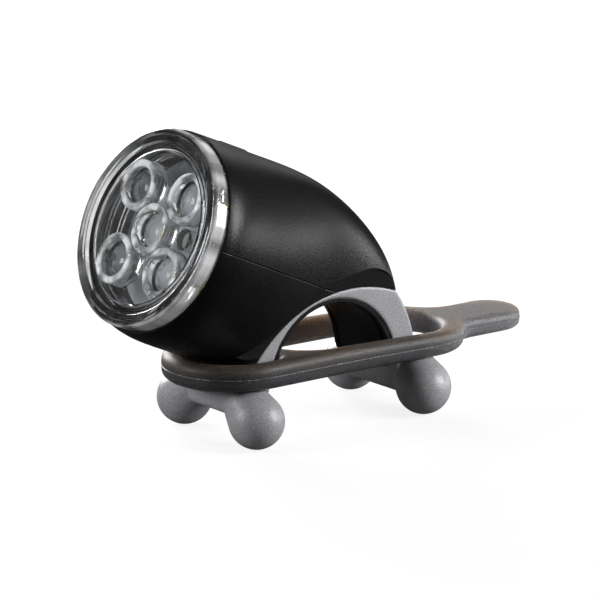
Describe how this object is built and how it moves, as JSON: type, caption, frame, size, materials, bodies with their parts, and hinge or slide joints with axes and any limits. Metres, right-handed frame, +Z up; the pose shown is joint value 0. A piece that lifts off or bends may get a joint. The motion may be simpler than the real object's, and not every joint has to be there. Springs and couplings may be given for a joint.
{
  "type": "bike light",
  "caption": "Compact bicycle front light: round clear lens over a cluster of collimators, tilted black housing, grey handlebar saddle with lobed feet and a stretch strap with a pull tab.",
  "frame": {"origin": "middle of the handlebar's axis, in the rubber-lined seat of the saddle", "axes": "X along the handlebar, -Y the way the light looks, +Z up through the housing"},
  "size_m": [0.0442, 0.108, 0.0672],
  "materials": {
    "housing": "fine spark-eroded texture, satin",
    "saddle": "light grey, finely speckled, satin",
    "liner": "moulded, semi-gloss",
    "strap": "translucent smoke-grey silicone, satin",
    "clear_lens": "clear, polished",
    "clear_optic": "clear, polished",
    "seal": "smooth",
    "board": "white solder mask",
    "led": "white case with yellow phosphor",
    "component_black": "moulded epoxy",
    "component_case": "drawn can",
    "switch_cap": "smooth",
    "holder": "as moulded",
    "cell_steel": "nickel-plated",
    "contact": "nickel-plated spring strip",
    "screw_steel": "zinc-plated"
  },
  "bodies": {
    "root": {"battery_holder": "holder", "board_screws": "screw_steel", "capacitor": "component_case", "circuit_board": "board", "driver_chip": "component_black", "front_cell": "cell_steel", "handlebar_liner": "liner", "led_centre": "led", "led_lower_left": "led", "led_lower_right": "led", "led_upper_left": "led", "led_upper_right": "led", "lower_housing": "housing", "negative_contact": "contact", "positive_contact": "contact", "rear_cell": "cell_steel", "resistors": "component_black", "saddle": "saddle", "saddle_screws": "screw_steel", "switch_body": "component_black", "upper_housing": "housing"},
    "lens_unit": {"lens_cap": "clear_lens", "lens_seal": "seal", "collimator_optic": "clear_optic"},
    "switch_plunger": {"switch_button": "switch_cap"},
    "strap": {"strap": "strap"}
  },
  "joints": [
    {"name": "lens_press", "type": "slide", "parent": "root", "child": "lens_unit", "axis": [0, 0.9164, -0.4003], "range_m": [0, 0.0004], "stiffness_N_per_m": 5000, "springref_m": -0.0002},
    {"name": "switch_press", "type": "slide", "parent": "root", "child": "switch_plunger", "axis": [0, 0.9164, -0.4003], "range_m": [0, 0.0004]},
    {"name": "strap_open", "type": "hinge", "parent": "root", "child": "strap", "pos_m": [0, -0.032, 0.00405], "axis": [1, 0, 0], "range_deg": [-60, 0], "deforming": ["strap"]}
  ],
  "couplings": [
    {"joint": "switch_press", "follows": "lens_press", "ratio": 1}
  ]
}
